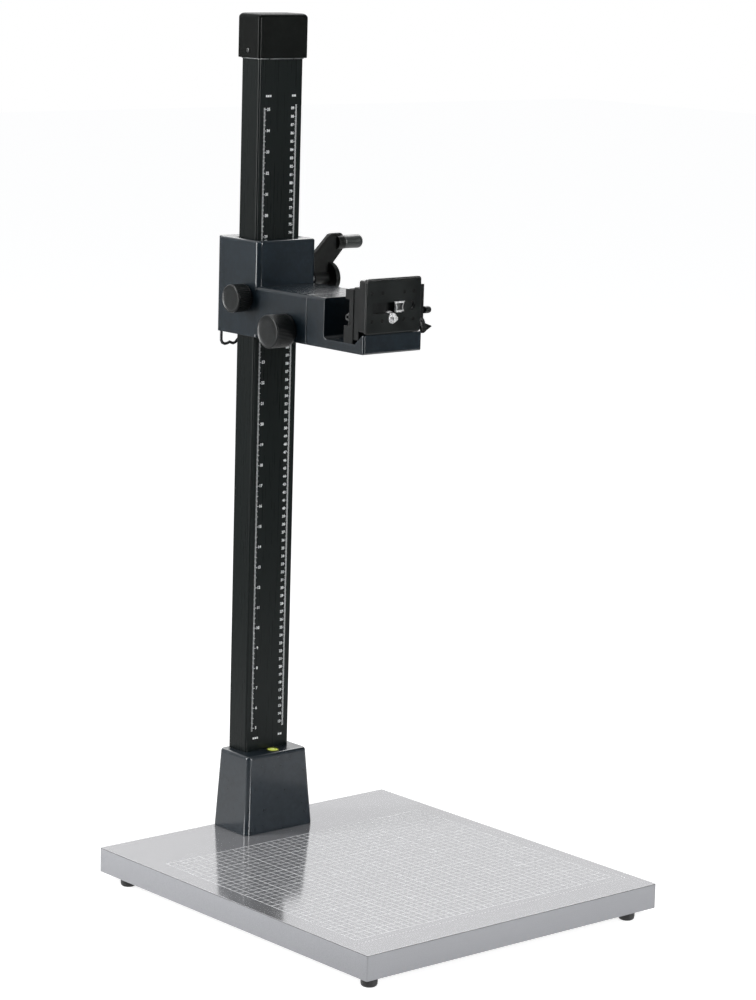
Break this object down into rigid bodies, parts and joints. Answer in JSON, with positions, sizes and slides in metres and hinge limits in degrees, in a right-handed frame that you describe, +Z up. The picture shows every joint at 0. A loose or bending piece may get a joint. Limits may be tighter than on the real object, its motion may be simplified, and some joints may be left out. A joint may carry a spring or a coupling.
{
  "type": "copy stand",
  "caption": "Copy stand: grid baseboard, scaled column, crank-driven sliding carriage with a swivelling arm head and a quick-release camera plate.",
  "frame": {"origin": "on the floor under the middle of the baseboard", "axes": "+Z up, -Y towards the user at the front edge of the board, +X to the right (crank side)"},
  "size_m": [0.45, 0.5246, 1.0425],
  "materials": {
    "black_rubber": "matt black rubber",
    "grey_rubber": "matt dark grey rubber with dimples",
    "zinc_steel": "zinc-plated steel",
    "bright_steel": "bright turned steel",
    "spring_steel": "blued spring steel",
    "board_side": "grey particle board with plastic edging",
    "grid_laminate": "matt grey laminate with a printed white grid",
    "grey_cast_metal": "dark blue-grey baked enamel on a casting",
    "grey_painted_metal": "blue-grey baked enamel, semi-gloss",
    "dark_cast_metal": "black enamel on a casting",
    "level_rim": "yellow plastic",
    "level_fluid": "clear yellow-green fluid under a lens",
    "black_anodised": "black anodised extrusion",
    "satin_aluminium": "satin aluminium",
    "plate_metal": "dark anodised plate",
    "black_plastic": "fine-grained black plastic",
    "white_plastic": "white bearing plastic",
    "dark_gloss_plastic": "smooth dark plastic",
    "bearing_brass": "bearing brass",
    "dark_wire": "dark coated wire"
  },
  "bodies": {
    "stand": {"rubber_feet": "black_rubber", "foot_screws": "zinc_steel", "board_core": "board_side", "board_laminate": "grid_laminate", "edge_bands": "board_side", "column_foot": "grey_cast_metal", "foot_plate": "zinc_steel", "foot_bolts": "zinc_steel", "level_cup": "level_rim", "level_vial": "level_fluid", "column": "black_anodised", "column_cap": "black_plastic", "cap_screws": "bright_steel", "band_anchor": "zinc_steel", "spring_band": "spring_steel", "column_screws": "zinc_steel"},
    "carriage": {"carriage_housing": "grey_painted_metal", "rear_cover": "grey_painted_metal", "cover_screws": "bright_steel", "glide_pads": "white_plastic", "shaft_bushings": "bearing_brass", "roller_axles": "bright_steel", "drum_axle": "bright_steel", "cable_hook": "dark_wire", "clamp_wedges": "bearing_brass"},
    "crank": {"drive_shaft": "bright_steel", "drive_roller": "black_rubber", "crank_arm": "dark_cast_metal", "crank_screw": "bright_steel", "grip_pin": "bright_steel"},
    "grip": {"crank_grip": "dark_gloss_plastic"},
    "roller_top": {"upper_roller": "white_plastic"},
    "roller_bottom": {"lower_roller": "white_plastic"},
    "drum": {"spring_drum": "white_plastic", "spring_coil": "spring_steel"},
    "lock": {"lock_knob": "black_plastic"},
    "brake": {"brake_shoe": "bearing_brass", "lock_stud": "bright_steel"},
    "clamp": {"clamp_knob": "black_plastic", "clamp_stud": "bright_steel"},
    "head": {"swivel_head": "grey_painted_metal", "pivot_shaft": "bright_steel", "pivot_screw": "bright_steel", "bracket": "black_anodised", "bracket_screws": "bright_steel", "side_screws": "bright_steel", "spacer_block": "black_anodised", "clamp_bed": "black_anodised", "bed_screws": "bright_steel", "lever_pin": "bright_steel"},
    "detent": {"under_knob": "satin_aluminium"},
    "lever": {"release_lever": "dark_cast_metal"},
    "button": {"safety_button": "black_plastic"},
    "plate": {"camera_plate": "plate_metal", "plate_pad": "grey_rubber"},
    "stop": {"slot_stop": "bright_steel"},
    "screw": {"camera_screw": "bright_steel"}
  },
  "joints": [
    {"name": "carriage_lift", "type": "slide", "parent": "stand", "child": "carriage", "axis": [0, 0, 1], "range_m": [-0.515, 0.215], "deforming": ["spring_band"]},
    {"name": "crank_turn", "type": "hinge", "parent": "carriage", "child": "crank", "pos_m": [0, 0.204, 0.7235], "axis": [1, 0, 0], "continuous": true},
    {"name": "grip_spin", "type": "hinge", "parent": "crank", "child": "grip", "pos_m": [0.1, 0.204, 0.766], "axis": [1, 0, 0], "continuous": true},
    {"name": "upper_roller_spin", "type": "hinge", "parent": "carriage", "child": "roller_top", "pos_m": [0, 0.254, 0.756], "axis": [1, 0, 0], "continuous": true},
    {"name": "lower_roller_spin", "type": "hinge", "parent": "carriage", "child": "roller_bottom", "pos_m": [0, 0.254, 0.676], "axis": [1, 0, 0], "continuous": true},
    {"name": "spring_drum_spin", "type": "hinge", "parent": "carriage", "child": "drum", "pos_m": [0, 0.25255, 0.716], "axis": [1, 0, 0], "continuous": true},
    {"name": "carriage_lock_turn", "type": "hinge", "parent": "carriage", "child": "lock", "pos_m": [-0.055, 0.217, 0.704], "axis": [-1, 0, 0], "range_deg": [0, 140]},
    {"name": "brake_shoe_press", "type": "slide", "parent": "carriage", "child": "brake", "axis": [1, 0, 0], "range_m": [0, 0.0005]},
    {"name": "swivel_clamp_turn", "type": "hinge", "parent": "carriage", "child": "clamp", "pos_m": [-0.055, 0.136, 0.674], "axis": [-1, 0, 0], "range_deg": [-540, 0]},
    {"name": "head_swivel", "type": "hinge", "parent": "carriage", "child": "head", "pos_m": [0, 0.09, 0.6905], "axis": [0, -1, 0], "range_deg": [-90, 90]},
    {"name": "detent_knob_turn", "type": "hinge", "parent": "head", "child": "detent", "pos_m": [-0.014, 0.084, 0.658], "axis": [0, 0, -1], "range_deg": [-180, 0]},
    {"name": "release_lever_turn", "type": "hinge", "parent": "head", "child": "lever", "pos_m": [0.0485, 0.001, 0.695], "axis": [0, -1, 0], "range_deg": [0, 40]},
    {"name": "safety_button_press", "type": "slide", "parent": "head", "child": "button", "axis": [-1, 0, 0], "range_m": [0, 0.0025], "stiffness_N_per_m": 400, "springref_m": -0.002},
    {"name": "camera_plate_slide", "type": "slide", "parent": "head", "child": "plate", "axis": [0, 0, 1], "range_m": [0, 0.058]},
    {"name": "slot_stop_slide", "type": "slide", "parent": "plate", "child": "stop", "axis": [-1, 0, 0], "range_m": [0, 0.028]},
    {"name": "camera_screw_turn", "type": "hinge", "parent": "plate", "child": "screw", "pos_m": [-0.002, -0.0058, 0.702], "axis": [0, -1, 0], "continuous": true}
  ],
  "couplings": [
    {"joint": "crank_turn", "follows": "carriage_lift", "rad_per_m": -125},
    {"joint": "upper_roller_spin", "follows": "carriage_lift", "rad_per_m": 125},
    {"joint": "lower_roller_spin", "follows": "carriage_lift", "rad_per_m": 125},
    {"joint": "spring_drum_spin", "follows": "carriage_lift", "rad_per_m": 128},
    {"joint": "brake_shoe_press", "follows": "carriage_lock_turn", "m_per_rad": 0.000199}
  ]
}
